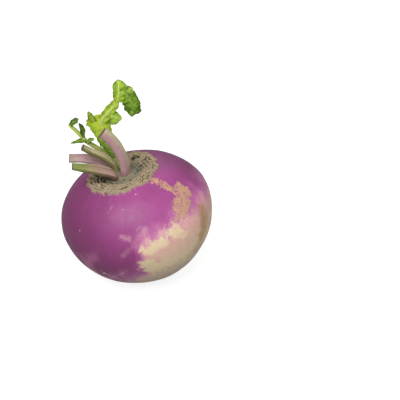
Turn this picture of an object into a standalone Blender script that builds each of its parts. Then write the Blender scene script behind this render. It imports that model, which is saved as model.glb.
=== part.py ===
"""A purple-top turnip with its trimmed leaf stalks, resting on the small flat of its belly.

Pieces: the root (one grown piece: belly, corky crown collar and trimmed tap root), four cut
leaf stalks and two stalks that still carry leaf. Every piece is modelled in the root's own
frame, whose Z runs up the turnip's axis, and the "root_axis" empty leans that frame over.
The origin is the middle of the flat that the turnip rests on.
"""

import math

import bmesh
import bpy
from mathutils import Vector

MM = 0.001

# Root: a squat turned body, driven by its equator radius.
ROOT_RADIUS = 45.0 * MM
SHOULDER_HEIGHT = 0.737 * ROOT_RADIUS
BELLY_DEPTH = 0.933 * ROOT_RADIUS
SHOULDER_FULLNESS = 2.06
BELLY_FULLNESS = 1.90
LEAN = math.radians(14.25)
LEAN_BULGE = 0.018
CENTRE_HEIGHT = 41.0 * MM
CENTRE_OFFSET = 2.07 * MM

# Crown: the corky collar and the hub that the stalks grow from.
CROWN_RADIUS = 0.465 * ROOT_RADIUS
CROWN_HEIGHT = 0.658 * ROOT_RADIUS
CROWN_SHIFT = Vector((-1.95 * MM, -0.4 * MM, 0.0))
COLLAR_LIP = 0.9 * MM
COLLAR_CREST = 1.7 * MM

# (share of the crown's radius, height over its rim), from the collar's lip in to the hub.
CROWN_PROFILE = [
    (1.00, 0.0),
    (0.98, COLLAR_LIP),
    (0.90, COLLAR_LIP + 0.3 * MM),
    (0.76, COLLAR_CREST),
    (0.64, COLLAR_CREST - 0.4 * MM),
    (0.55, 0.0),
    (0.30, -0.3 * MM),
    (0.10, -0.3 * MM),
]

# Tap root: trimmed to a stub inside a shallow dimple.
DIMPLE_RADIUS = 9.0 * MM
DIMPLE_DEPTH = 2.4 * MM
STUB_RADIUS = 3.4 * MM
STUB_LENGTH = 1.3 * MM
# (share of the stub's radius, share of its length), from the cut face to the dimple.
STUB_PROFILE = [(0.55, 1.0), (0.80, 0.85), (1.0, 0.3), (1.35, 0.0)]

# Stalks and blades.
CHANNEL_DEPTH = 0.22
BLADE_THICKNESS = 1.1 * MM
EDGE_THINNING = 0.45
FULL_CUP_WIDTH = 6.0 * MM
# Walk round a blade's section: (share of the reach, which side of the sheet).
BLADE_SECTION = [(-1.0, 1), (-0.5, 1), (0.0, 1), (0.5, 1), (1.0, 1),
                 (1.0, -1), (0.5, -1), (0.0, -1), (-0.5, -1), (-1.0, -1)]

# Mesh fineness.
ROUND_SIDES = 56
LOWEST_ROUND = math.radians(-78.0)
ROUND_SPACING = math.radians(4.2)
ROUNDS = 34
LEAST_ROUND_GAP = 0.4 * MM
SHARP_ANGLE = math.radians(50.0)
STALK_SIDES = 12
STALK_STEPS = 12
LEAF_STEPS = 20
LOBE_STEPS = 8


def clear_scene():
    for old in list(bpy.data.objects):
        bpy.data.objects.remove(old, do_unlink=True)


def make_material(name, colour, roughness):
    material = bpy.data.materials.new(name)
    material.use_nodes = True
    shader = material.node_tree.nodes["Principled BSDF"]
    shader.inputs["Base Color"].default_value = (*colour, 1.0)
    shader.inputs["Roughness"].default_value = roughness
    shader.inputs["Metallic"].default_value = 0.0
    return material


def smooth_step(low, high, value):
    share = min(1.0, max(0.0, (value - low) / (high - low)))
    return share * share * (3.0 - 2.0 * share)


def smooth_curve(stations, steps):
    """Rows of numbers along a Catmull-Rom curve through the stations, ends included."""
    rows = []
    last = len(stations) - 1
    for step in range(steps + 1):
        along = step * last / steps
        index = min(int(along), last - 1)
        t = along - index
        before = stations[max(index - 1, 0)]
        start, end = stations[index], stations[index + 1]
        after = stations[min(index + 2, last)]
        rows.append([
            0.5 * (2 * b + (c - a) * t + (2 * a - 5 * b + 4 * c - d) * t**2
                   + (3 * b - a - 3 * c + d) * t**3)
            for a, b, c, d in zip(before, start, end, after)
        ])
    return rows


def skin_rings(name, rings, parent, material):
    """One closed object whose skin runs through rings of equally many points."""
    mesh = bmesh.new()
    loops = [[mesh.verts.new(point) for point in ring] for ring in rings]
    sides = len(rings[0])
    for lower, upper in zip(loops, loops[1:]):
        for i in range(sides):
            j = (i + 1) % sides
            mesh.faces.new((lower[i], lower[j], upper[j], upper[i]))
    mesh.faces.new(reversed(loops[0]))
    mesh.faces.new(loops[-1])
    bmesh.ops.recalc_face_normals(mesh, faces=mesh.faces)
    return add_object(name, mesh, parent, material)


def add_object(name, mesh, parent, material):
    data = bpy.data.meshes.new(name)
    mesh.to_mesh(data)
    mesh.free()
    data.shade_smooth()
    data.set_sharp_from_angle(angle=SHARP_ANGLE)
    made = bpy.data.objects.new(name, data)
    made.parent = parent
    data.materials.append(material)
    bpy.context.scene.collection.objects.link(made)
    return made


# ---- root ----


def root_profile():
    """(radius, height) pairs up the turnip's axis, from the tap root's cut face to the hub."""
    belly_pole = -BELLY_DEPTH + DIMPLE_DEPTH
    profile = [(wide * STUB_RADIUS, belly_pole - deep * STUB_LENGTH) for wide, deep in STUB_PROFILE]
    stub_edge = profile[-1][0] + LEAST_ROUND_GAP
    for step in range(ROUNDS):
        angle = LOWEST_ROUND + step * ROUND_SPACING
        if angle < 0:
            fullness, pole, edge = BELLY_FULLNESS, -BELLY_DEPTH, stub_edge
        else:
            fullness, pole, edge = SHOULDER_FULLNESS, SHOULDER_HEIGHT, CROWN_RADIUS + LEAST_ROUND_GAP
        radius = ROOT_RADIUS * math.cos(angle) ** (2 / fullness)
        height = pole * abs(math.sin(angle)) ** (2 / fullness)
        if angle < 0:
            height += DIMPLE_DEPTH * (1 - smooth_step(0.4 * DIMPLE_RADIUS, DIMPLE_RADIUS, radius))
        if radius > edge:
            profile.append((radius, height))
    return profile + [(share * CROWN_RADIUS, CROWN_HEIGHT + over) for share, over in CROWN_PROFILE]


def root_ring(radius, height):
    """One round of the root, swollen a little towards the lean and with its crown off centre."""
    ring = []
    offset = CROWN_SHIFT * smooth_step(0.15 * SHOULDER_HEIGHT, CROWN_HEIGHT, height)
    swell = 1.0 - smooth_step(0.5 * SHOULDER_HEIGHT, CROWN_HEIGHT, height)
    for side in range(ROUND_SIDES):
        turn = 2 * math.pi * side / ROUND_SIDES
        bulge = -LEAN_BULGE * math.cos(turn) * swell * radius / ROOT_RADIUS
        reach = radius * (1.0 + bulge)
        ring.append(Vector((reach * math.cos(turn), reach * math.sin(turn), height)) + offset)
    return ring


def build_root(axis, material):
    root = skin_rings("root", [root_ring(*row) for row in root_profile()], axis, material)
    floor_in_root = axis.matrix_world.inverted()
    mesh = bmesh.new()
    mesh.from_mesh(root.data)
    cut = bmesh.ops.bisect_plane(
        mesh,
        geom=mesh.verts[:] + mesh.edges[:] + mesh.faces[:],
        plane_co=floor_in_root @ Vector((0.0, 0.0, 0.0)),
        plane_no=floor_in_root.to_3x3() @ Vector((0.0, 0.0, 1.0)),
        clear_inner=True,
    )
    rim = [item for item in cut["geom_cut"] if isinstance(item, bmesh.types.BMEdge)]
    bmesh.ops.edgenet_fill(mesh, edges=rim)
    bmesh.ops.recalc_face_normals(mesh, faces=mesh.faces)
    mesh.to_mesh(root.data)
    mesh.free()
    root.data.set_sharp_from_angle(angle=SHARP_ANGLE)
    return root


# ---- stalks ----
# A stalk station is (right, back, up, width, thickness) in mm from the middle of the crown.
# "channel" is the way the hollow side of the stalk faces.

CUT_STALKS = {
    "tall_stalk": {
        "channel": (-0.6, 0.6, 0.5),
        "stations": [
            (3.1, -3.6, 0.5, 7.0, 5.0),
            (3.9, -3.6, 6.6, 7.1, 5.0),
            (3.4, -3.8, 14.9, 6.9, 4.9),
            (1.7, -4.2, 22.0, 6.8, 4.8),
            (-0.8, -4.8, 27.6, 6.6, 4.7),
            (-2.3, -5.0, 30.1, 6.5, 4.6),
        ],
    },
    "middle_stalk": {
        "channel": (0.75, 0.1, 0.65),
        "stations": [
            (-1.6, -0.3, 0.5, 6.2, 3.6),
            (-2.3, -0.2, 5.6, 6.6, 4.4),
            (-4.4, 0.0, 9.6, 6.7, 4.8),
            (-7.8, 0.2, 13.4, 6.4, 4.8),
            (-12.6, 0.2, 17.7, 5.8, 4.6),
            (-16.2, 0.0, 21.6, 5.3, 4.4),
        ],
    },
    "low_stalk": {
        "channel": (0.35, -0.1, 0.95),
        "stations": [
            (-5.2, -6.0, 0.5, 6.4, 4.6),
            (-6.0, -7.0, 4.0, 7.8, 5.6),
            (-9.0, -8.0, 7.8, 8.6, 6.2),
            (-12.7, -8.5, 10.4, 8.2, 6.0),
            (-17.8, -9.0, 13.1, 7.0, 5.2),
            (-23.9, -9.5, 16.2, 5.6, 4.2),
        ],
    },
    "back_stalk": {
        "channel": (0.2, -0.5, 0.85),
        "stations": [
            (-6.6, 5.4, 0.5, 5.6, 3.8),
            (-8.4, 6.0, 4.0, 6.2, 4.4),
            (-12.7, 7.0, 7.2, 6.2, 4.8),
            (-19.7, 7.5, 10.3, 5.7, 4.6),
            (-27.6, 8.0, 12.4, 5.3, 4.3),
        ],
    },
}

# A blade station is (right, back, up, reach on one side, reach on the other) in mm.
# Each lobe starts with its cup: how far both edges bend the way that the leaf's channel faces.

LEAVES = {
    "large_leaf": {
        "channel": (0.1, -0.9, 0.4),
        "stem": [
            (-0.9, 5.2, 0.5, 3.8, 2.8),
            (-1.7, 5.0, 5.0, 3.6, 2.6),
            (-2.7, 4.8, 12.6, 3.5, 2.4),
            (-3.9, 5.0, 20.1, 3.4, 2.2),
            (-3.4, 5.4, 27.7, 3.0, 2.0),
            (-1.0, 6.0, 33.0, 2.7, 1.9),
            (4.9, 6.3, 37.0, 2.3, 1.8),
            (10.2, 7.3, 41.7, 1.8, 1.7),
            (12.3, 8.8, 46.8, 1.3, 1.5),
            (13.3, 10.5, 49.8, 1.0, 1.4),
        ],
        "lobes": {
            "wing": (0.6, [
                (-1.5, 4.3, 7.5, 1.2, 1.2),
                (-2.4, 4.4, 12.8, 2.4, 2.2),
                (-3.5, 4.7, 18.7, 3.8, 3.4),
                (-3.6, 5.0, 23.9, 4.9, 5.2),
                (-3.3, 5.4, 28.3, 6.3, 5.4),
                (-3.1, 6.0, 32.2, 8.2, 5.6),
                (-3.0, 6.5, 34.6, 6.3, 3.4),
                (-2.9, 6.9, 35.8, 1.1, 1.1),
            ]),
            "curl": (0.8, [
                (-6.4, 6.0, 32.6, 1.6, 1.6),
                (-6.8, 5.2, 35.4, 2.0, 1.5),
                (-7.2, 4.2, 38.4, 1.6, 1.3),
                (-7.6, 3.5, 40.6, 0.6, 0.6),
            ]),
            "midrib": (0.4, [
                (-1.8, 6.0, 31.8, 2.6, 2.9),
                (1.6, 6.3, 34.5, 2.8, 3.4),
                (5.0, 6.6, 37.2, 2.8, 3.1),
                (8.0, 7.0, 39.8, 2.3, 2.6),
                (10.8, 7.5, 42.7, 1.7, 2.3),
            ]),
            "low_right": (-0.5, [
                (2.4, 6.4, 35.0, 1.7, 1.7),
                (4.2, 5.6, 33.3, 2.6, 3.4),
                (5.8, 4.8, 32.3, 3.4, 4.8),
                (7.3, 4.2, 31.6, 2.8, 4.0),
                (8.6, 4.0, 30.7, 1.4, 1.7),
                (9.0, 4.0, 30.2, 0.6, 0.6),
            ]),
            "top": (0.9, [
                (10.1, 7.0, 39.9, 1.4, 2.3),
                (10.9, 7.5, 43.0, 3.2, 4.2),
                (12.1, 8.5, 45.8, 3.4, 5.0),
                (12.6, 10.0, 48.1, 3.3, 4.4),
                (13.0, 11.5, 49.8, 2.1, 2.8),
                (13.2, 12.5, 51.1, 0.8, 0.9),
            ]),
            "shoulder": (0.3, [
                (11.2, 7.3, 41.0, 1.6, 1.6),
                (14.6, 7.6, 43.0, 3.0, 2.8),
                (17.0, 8.2, 44.4, 2.6, 2.5),
                (19.0, 8.8, 45.1, 1.2, 1.2),
                (19.7, 9.0, 45.4, 0.6, 0.6),
            ]),
            "right": (-1.0, [
                (13.5, 7.4, 43.2, 1.7, 1.7),
                (15.9, 6.7, 40.9, 3.6, 4.0),
                (17.2, 6.0, 38.0, 4.2, 4.2),
                (16.7, 5.8, 34.9, 4.5, 4.0),
                (15.3, 6.0, 31.9, 4.0, 3.7),
                (14.4, 6.6, 29.3, 1.7, 1.4),
            ]),
        },
    },
    "small_leaf": {
        "channel": (0.5, -0.6, 0.6),
        "stem": [
            (-1.2, 10.0, 0.5, 3.4, 2.8),
            (-3.6, 9.0, 6.0, 3.3, 2.6),
            (-7.2, 7.4, 11.8, 3.2, 2.5),
            (-10.0, 6.2, 15.8, 3.0, 2.4),
            (-13.9, 5.0, 21.5, 2.7, 2.2),
            (-15.6, 4.2, 26.1, 2.5, 2.0),
            (-18.5, 3.4, 32.6, 2.2, 1.8),
            (-20.1, 3.0, 35.6, 1.9, 1.7),
        ],
        "lobes": {
            "tip": (0.5, [
                (-19.9, 3.1, 34.9, 0.9, 0.9),
                (-17.3, 2.5, 36.9, 1.5, 1.5),
                (-15.1, 2.0, 38.0, 1.5, 1.6),
                (-13.8, 2.0, 38.4, 0.6, 0.6),
            ]),
            "ear": (0.4, [
                (-15.0, 4.3, 25.2, 0.9, 0.9),
                (-14.0, 3.8, 29.0, 1.7, 1.4),
                (-14.3, 3.8, 31.6, 1.8, 1.6),
                (-14.5, 3.7, 33.6, 1.1, 1.2),
                (-14.5, 3.6, 34.8, 0.6, 0.6),
            ]),
            "tongue": (0.3, [
                (-14.0, 4.7, 22.8, 1.3, 1.4),
                (-16.8, 3.2, 24.0, 1.4, 1.4),
                (-19.8, 2.2, 24.6, 0.9, 0.8),
                (-22.3, 1.4, 25.1, 0.5, 0.5),
            ]),
            "wing": (0.4, [
                (-13.6, 4.8, 21.2, 1.0, 1.0),
                (-11.7, 3.8, 22.4, 1.5, 1.3),
                (-10.2, 3.1, 23.0, 1.1, 0.9),
                (-9.2, 2.7, 23.4, 0.5, 0.5),
            ]),
        },
    },
}


def along_curve(stations, steps, flat_start):
    """Centre, heading and sizes at each step; a flat start squares the base to the crown."""
    rows = smooth_curve(stations, steps)
    centres = [Vector(row[:3]) * MM for row in rows]
    for index, row in enumerate(rows):
        ahead = centres[min(index + 1, steps)] - centres[max(index - 1, 0)]
        heading = ahead.normalized()
        if index == 0 and flat_start:
            heading = Vector((0.0, 0.0, 1.0))
        yield centres[index], heading, row[3] * MM, row[4] * MM


def stalk_rings(stations, channel, steps):
    """Rounds of a stalk: rounded on its back, hollowed along its channel side."""
    rings = []
    for centre, heading, width, thickness in along_curve(stations, steps, True):
        across = heading.cross(Vector(channel)).normalized()
        inner = across.cross(heading)
        ring = []
        for side in range(STALK_SIDES):
            turn = 2 * math.pi * side / STALK_SIDES
            hollow = CHANNEL_DEPTH * max(0.0, math.sin(turn)) ** 3 * thickness
            lift = 0.5 * thickness * math.sin(turn) - hollow
            ring.append(centre + across * (0.5 * width * math.cos(turn)) + inner * lift)
        rings.append(ring)
    return rings


def blade_rings(stations, face, cup):
    """Flattened rounds of one lobe of a blade, its edges bent towards its face by the cup."""
    rings = []
    for centre, heading, left, right in along_curve(stations, LOBE_STEPS, False):
        across = heading.cross(Vector(face)).normalized()
        outward = across.cross(heading)
        ring = []
        for share, half in BLADE_SECTION:
            reach = share * (right if share > 0 else left)
            bend = cup * MM * share * share * min(1.0, (left + right) / FULL_CUP_WIDTH)
            lift = bend + half * 0.5 * BLADE_THICKNESS * (1.0 - EDGE_THINNING * share * share)
            ring.append(centre + across * reach + outward * lift)
        rings.append(ring)
    return rings


def build_stalks(axis):
    green = make_material("stalk_skin", (0.42, 0.36, 0.20), 0.45)
    for name, shape in CUT_STALKS.items():
        stalk = skin_rings(name, stalk_rings(shape["stations"], shape["channel"], STALK_STEPS),
                           axis, green)
        stalk.location = crown_middle()


def build_leaves(axis):
    green = make_material("leaf_skin", (0.22, 0.28, 0.06), 0.5)
    for name, shape in LEAVES.items():
        leaf = skin_rings(name, stalk_rings(shape["stem"], shape["channel"], LEAF_STEPS),
                          axis, green)
        leaf.location = crown_middle()
        for lobe_name, (cup, stations) in shape["lobes"].items():
            lobe = skin_rings(f"{name}_{lobe_name}",
                              blade_rings(stations, shape["channel"], cup), axis, green)
            lobe.location = crown_middle()
            lobe.hide_render = True
            lobe.display_type = "WIRE"
            join = leaf.modifiers.new(lobe_name, "BOOLEAN")
            join.operation = "UNION"
            join.solver = "EXACT"
            join.use_self = True
            join.object = lobe


def crown_middle():
    return CROWN_SHIFT + Vector((0.0, 0.0, CROWN_HEIGHT))


def build():
    clear_scene()
    axis = bpy.data.objects.new("root_axis", None)
    axis.location = (CENTRE_OFFSET, 0.0, CENTRE_HEIGHT)
    axis.rotation_euler = (0.0, -LEAN, 0.0)
    bpy.context.scene.collection.objects.link(axis)
    bpy.context.view_layer.update()
    build_root(axis, make_material("root_skin", (0.32, 0.06, 0.26), 0.35))
    build_stalks(axis)
    build_leaves(axis)


build()
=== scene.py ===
"""Grows the skin, crown, stalks and leaves of a purple-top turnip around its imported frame."""

import math

import bpy
import numpy as np
from mathutils import Matrix, Vector, noise


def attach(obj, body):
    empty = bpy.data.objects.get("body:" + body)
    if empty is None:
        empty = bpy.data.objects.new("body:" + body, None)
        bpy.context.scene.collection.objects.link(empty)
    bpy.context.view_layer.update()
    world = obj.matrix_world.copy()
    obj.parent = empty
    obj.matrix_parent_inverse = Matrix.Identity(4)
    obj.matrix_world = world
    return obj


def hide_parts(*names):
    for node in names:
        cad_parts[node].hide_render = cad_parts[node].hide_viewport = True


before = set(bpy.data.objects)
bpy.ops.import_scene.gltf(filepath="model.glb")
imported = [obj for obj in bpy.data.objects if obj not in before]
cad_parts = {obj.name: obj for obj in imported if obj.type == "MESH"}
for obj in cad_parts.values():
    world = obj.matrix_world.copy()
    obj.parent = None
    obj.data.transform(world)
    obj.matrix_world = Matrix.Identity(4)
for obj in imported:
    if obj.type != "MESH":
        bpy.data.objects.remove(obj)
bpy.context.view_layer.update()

bl_info = {
    "name": "Purple-top Turnip",
    "version": (1, 0, 0),
    "blender": (4, 5, 0),
    "location": "3D View > Sidebar > Turnip",
    "description": "Grows a trimmed purple-top turnip: root, crown, leaf stalks and young leaf",
    "category": "Object",
}

MM = 0.001

# The root's own frame: Z up its axis, its middle at the height of the equator.
ROOT_RADIUS = 45.0
SHOULDER_HEIGHT = 0.737 * ROOT_RADIUS
BELLY_DEPTH = 0.933 * ROOT_RADIUS
SHOULDER_FULLNESS = 2.06
BELLY_FULLNESS = 1.90
LEAN = math.radians(14.25)
LEAN_BULGE = 0.018
ROOT_MIDDLE = Vector((2.07, 0.0, 41.0))
CROWN_RADIUS = 0.465 * ROOT_RADIUS
CROWN_HEIGHT = 0.658 * ROOT_RADIUS
CROWN_SHIFT = np.array([-1.95, -0.4])
DIMPLE_RADIUS = 9.0
DIMPLE_DEPTH = 2.4
STUB_RADIUS = 3.4
STUB_LENGTH = 1.3


# ---- settings that a user would change ----


def colour_setting(name, description, default):
    return bpy.props.FloatVectorProperty(
        name=name, description=description, subtype="COLOR", size=3, min=0.0, max=1.0,
        default=default)


class TurnipRootSettings(bpy.types.PropertyGroup):
    rounds: bpy.props.IntProperty(
        name="Points Round", description="Points round the root", default=320, min=48)
    collar_crest: bpy.props.FloatProperty(
        name="Collar Crest", description="How far the corky collar stands up",
        default=1.25 * MM, unit="LENGTH")
    purple: colour_setting("Purple", "Skin over the top", (0.27, 0.045, 0.185))
    # The deep purple darkens the left flank and the blotches, and is painted shade on the upper
    # right shoulder.
    deep_purple_and_shade: colour_setting("Deep Purple", "Skin on the darkest flank", (0.135, 0.022, 0.085))
    pink: colour_setting("Pink", "Skin where the purple fades", (0.50, 0.17, 0.34))
    peach: colour_setting("Peach", "Skin between the pink and the cream", (0.62, 0.39, 0.29))
    cream: colour_setting("Cream", "Skin of the belly", (0.68, 0.56, 0.34))
    cork: colour_setting("Cork", "Corky collar", (0.215, 0.165, 0.10))
    fibre: colour_setting("Fibre", "Palest frayed cork", (0.36, 0.29, 0.18))
    bark: colour_setting("Bark", "Darkest cork", (0.065, 0.045, 0.025))
    heart: colour_setting("Heart", "Grey-green middle of the crown", (0.125, 0.12, 0.08))
    scab: colour_setting("Scab", "Dry scabs on the skin", (0.50, 0.29, 0.17))


class TurnipStalkSettings(bpy.types.PropertyGroup):
    rounds: bpy.props.IntProperty(
        name="Points Round", description="Points round each stalk", default=72, min=12)
    mauve: colour_setting("Mauve", "Flush on the stalks", (0.35, 0.205, 0.22))
    blush: colour_setting("Blush", "Pale pink skin", (0.42, 0.29, 0.25))
    # Plum is worn only at the feet of the tall and low stalks, as painted shade near the crown.
    plum_shade: colour_setting("Plum", "Darkest flush, near the crown", (0.16, 0.06, 0.085))
    dun: colour_setting("Dun", "Dull brown-pink skin", (0.30, 0.185, 0.155))
    # Rust colours the low stalk's back and flank, and is painted shade at the back stalk's foot.
    rust: colour_setting("Rust", "Brown flush of the lowest stalk", (0.15, 0.085, 0.065))
    olive: colour_setting("Olive", "Green of the stalks", (0.15, 0.14, 0.04))
    fresh: colour_setting("Fresh Green", "Green near the cut tips", (0.15, 0.185, 0.028))
    pale: colour_setting("Pale", "Palest stalk skin", (0.40, 0.35, 0.21))
    # The crease colour is painted shade along the channels' lips, and the dark of the cut faces and
    # of the rim just below each cut.
    crease: colour_setting("Crease", "Creases and fresh cuts", (0.06, 0.04, 0.018))
    dried: colour_setting("Dried", "Dried cut faces", (0.26, 0.20, 0.10))


class TurnipLeafSettings(bpy.types.PropertyGroup):
    ruffle: bpy.props.FloatProperty(
        name="Ruffle", description="How far the blades pucker out of their sheet",
        default=0.8 * MM, unit="LENGTH")
    young: colour_setting("Young Green", "Yellow green of the young blade", (0.35, 0.46, 0.028))
    mature: colour_setting("Leaf Green", "Green of the lobes", (0.15, 0.28, 0.014))
    # Dark green is the darker lobes' own green, and painted shade on the curled edges and in the
    # puckers.
    dark: colour_setting("Dark Green", "Curled edges", (0.022, 0.055, 0.006))
    vein: colour_setting("Vein", "Veins and the stem's channel", (0.44, 0.50, 0.16))
    stem: colour_setting("Stem", "Lower stem", (0.20, 0.20, 0.045))


class TurnipStageSettings(bpy.types.PropertyGroup):
    distance: bpy.props.FloatProperty(
        name="Camera Distance", description="From the middle of the root", default=0.7,
        unit="LENGTH")
    elevation: bpy.props.FloatProperty(
        name="Camera Elevation", description="Above the floor", default=math.radians(32.1),
        subtype="ANGLE")
    lens: bpy.props.FloatProperty(
        name="Lens", description="Focal length in millimetres", default=106.2)
    floor: colour_setting("Floor", "Plain pale floor", (0.93, 0.93, 0.93))
    bounce: bpy.props.FloatProperty(
        name="Floor Bounce", description="How much light the floor throws back up", default=0.35)
    ambient: bpy.props.FloatProperty(
        name="Ambient", description="Light from all round", default=0.40)


# ---- numbers and noise ----


def smooth_step(low, high, value):
    share = np.clip((value - low) / (high - low), 0.0, 1.0)
    return share * share * (3.0 - 2.0 * share)


def bump_at(points, centre, radius):
    """A round swelling: 1 at the centre, fading out past the radius."""
    apart = points - np.array(centre)
    return np.exp(-np.sum(apart * apart, axis=-1) / (radius * radius))


def noise_of(points, size, octaves=3, seed=0.0):
    """Smooth noise about 0 at each point, with features about that size."""
    flat = np.asarray(points, float).reshape(-1, 3) / size + seed
    made = [noise.fractal(Vector(p), 0.9, 2.1, octaves) for p in flat]
    return np.array(made).reshape(np.shape(points)[:-1])


def smooth_curve(stations, steps):
    """Rows along a Catmull-Rom curve through the stations, ends included."""
    stations = np.array(stations, float)
    last = len(stations) - 1
    along = np.linspace(0.0, last, steps + 1)
    index = np.minimum(along.astype(int), last - 1)
    t = (along - index)[:, None]
    a, b = stations[np.maximum(index - 1, 0)], stations[index]
    c, d = stations[index + 1], stations[np.minimum(index + 2, last)]
    return 0.5 * (2 * b + (c - a) * t + (2 * a - 5 * b + 4 * c - d) * t**2
                  + (3 * b - a - 3 * c + d) * t**3)


def unit(vectors):
    return vectors / np.linalg.norm(vectors, axis=-1, keepdims=True)


# ---- meshes ----


def root_matrix():
    """Places the root's own frame in the row frame: leaned over and lifted."""
    return Matrix.Translation(ROOT_MIDDLE * MM) @ Matrix.Rotation(-LEAN, 4, "Y")


class Skin:
    """Gathers closed shells of rings, with a value for each point under each mask name."""

    def __init__(self):
        self.points = []
        self.faces = []
        self.masks = {}
        self.count = 0

    def shell(self, rings, masks):
        """rings is rows x sides x 3, in mm; masks holds rows x sides values. Both ends close."""
        rows, sides = rings.shape[:2]
        start = self.count
        grid = start + np.arange(rows * sides).reshape(rows, sides)
        following = np.roll(grid, -1, axis=1)
        walls = np.stack([grid[:-1], following[:-1], following[1:], grid[1:]], axis=-1)
        self.faces += walls.reshape(-1, 4).tolist()
        first, last = start + rows * sides, start + rows * sides + 1
        self.faces += [(first, b, a) for a, b in zip(grid[0], following[0])]
        self.faces += [(last, a, b) for a, b in zip(grid[-1], following[-1])]
        ends = np.array([rings[0].mean(axis=0), rings[-1].mean(axis=0)])
        self.points.append(np.concatenate([rings.reshape(-1, 3), ends]))
        added = rows * sides + 2
        for name in set(self.masks) | set(masks):
            values = masks.get(name)
            new = np.zeros(added) if values is None else np.concatenate(
                [values.reshape(-1), [values[0].mean(), values[-1].mean()]])
            self.masks.setdefault(name, [np.zeros(start)] if start else []).append(new)
        self.count += added

    def piece(self, name, material, node):
        """Makes the object, smooth shaded, and lets it stand for the CAD node."""
        mesh = bpy.data.meshes.new(name)
        turned = np.array(root_matrix().to_3x3())
        points = (np.concatenate(self.points) @ turned.T + np.array(ROOT_MIDDLE)) * MM
        mesh.from_pydata(points.tolist(), [], self.faces)
        mesh.update()
        for mask, parts in self.masks.items():
            layer = mesh.attributes.new(mask, "FLOAT", "POINT")
            layer.data.foreach_set("value", np.concatenate(parts).astype(np.float32))
        mesh.shade_smooth()
        mesh.materials.append(material)
        made = bpy.data.objects.new(name, mesh)
        bpy.context.scene.collection.objects.link(made)
        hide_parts(node)
        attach(made, "root")
        return made


# ---- root ----

# (right, back) in mm from the middle of the crown, then reach and depth or height.
COLLAR_SHIFT = np.array([0.9, -2.2])
CROWN_PITS = [
    (7.5, 11.3, 1.7, 1.5), (11.0, 10.6, 1.4, 1.2), (14.6, 5.6, 1.2, 1.3), (15.4, 1.2, 0.9, 1.0),
    (11.8, 2.2, 1.1, 1.2), (9.6, -1.4, 1.1, 1.1), (-13.3, -6.4, 1.3, 1.5), (1.6, -9.6, 0.8, 0.9),
    (-14.2, 1.6, 2.0, 1.0), (-10.4, -5.4, 1.4, 0.9), (3.0, 12.6, 1.6, 1.0), (-6.0, 12.6, 1.5, 1.0),
]
CROWN_NUBS = [
    (-11.6, -11.9, 1.3, 1.5), (-13.0, -12.6, 0.8, 0.9), (-20.3, 4.2, 1.2, 1.6),
    (15.0, -12.9, 1.5, 1.5), (13.2, -14.4, 0.9, 0.8), (17.4, -10.4, 0.9, 0.7),
    (11.6, -7.3, 0.8, 0.6), (-7.4, 17.6, 1.3, 0.9), (8.4, 16.6, 1.1, 0.9), (19.6, 3.6, 1.0, 0.8),
]


def body_outline(rows):
    """Radius and height up the root from beside the tap root to beside the crown."""
    angle = np.radians(np.linspace(-84.0, 62.2, rows))
    belly = angle < 0
    fullness = np.where(belly, BELLY_FULLNESS, SHOULDER_FULLNESS)
    pole = np.where(belly, -BELLY_DEPTH, SHOULDER_HEIGHT)
    radius = ROOT_RADIUS * np.cos(angle) ** (2 / fullness)
    height = pole * np.abs(np.sin(angle)) ** (2 / fullness)
    dimple = 1 - smooth_step(0.4 * DIMPLE_RADIUS, DIMPLE_RADIUS, radius)
    return radius, height + DIMPLE_DEPTH * dimple * belly


def tap_root_outline():
    """Radius and height of the trimmed stub, from its cut face to the foot of the dimple."""
    foot = -BELLY_DEPTH + DIMPLE_DEPTH
    stations = [(0.15, foot - 0.75 * STUB_LENGTH), (0.5 * STUB_RADIUS, foot - STUB_LENGTH),
                (0.9 * STUB_RADIUS, foot - 0.95 * STUB_LENGTH),
                (1.05 * STUB_RADIUS, foot - 0.4 * STUB_LENGTH), (1.3 * STUB_RADIUS, foot - 0.02)]
    rows = smooth_curve(stations, 18)
    return rows[:, 0], rows[:, 1]


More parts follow.
